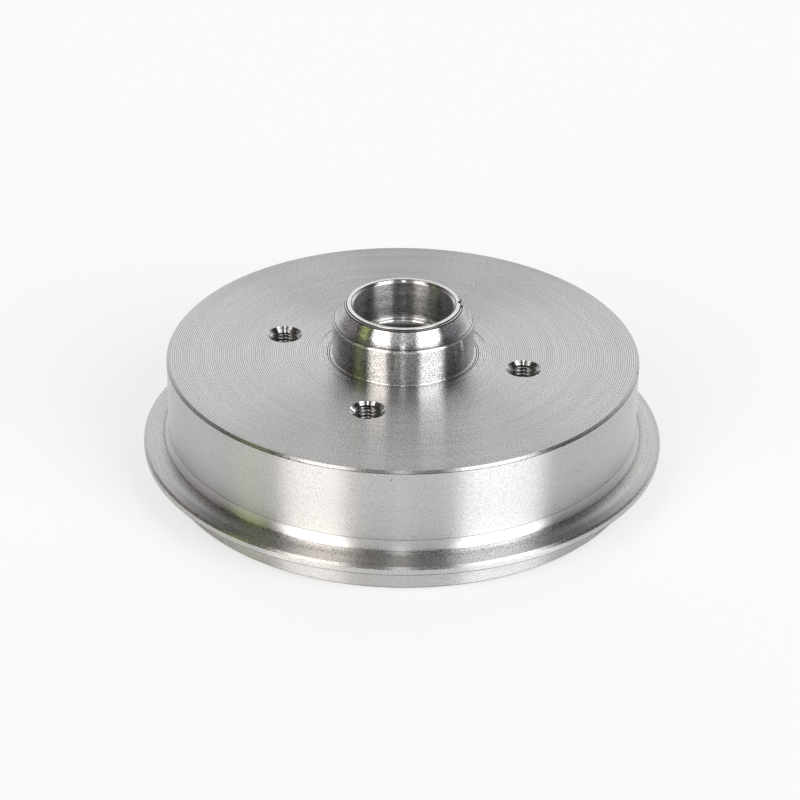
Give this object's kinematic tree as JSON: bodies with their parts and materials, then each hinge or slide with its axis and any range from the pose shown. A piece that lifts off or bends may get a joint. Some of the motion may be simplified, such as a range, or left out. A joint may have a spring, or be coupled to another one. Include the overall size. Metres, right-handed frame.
{
  "type": "brake drum",
  "caption": "Brake drum cast with its wheel hub: flanged braking ring, flat turned wheel face with tapped bolt holes, and a raised hub bored for bearings.",
  "frame": {"origin": "centre of the open rim's plane, on which the drum stands", "axes": "+Z along the axle line from the open rim to the hub's nose; the wheel bolt holes lie on X and Y"},
  "size_m": [0.2104, 0.2104, 0.0729],
  "materials": {
    "turned_iron": "fine concentric turning marks, bright and unpainted"
  },
  "bodies": {
    "root": {"brake_drum": "turned_iron"}
  },
  "joints": []
}
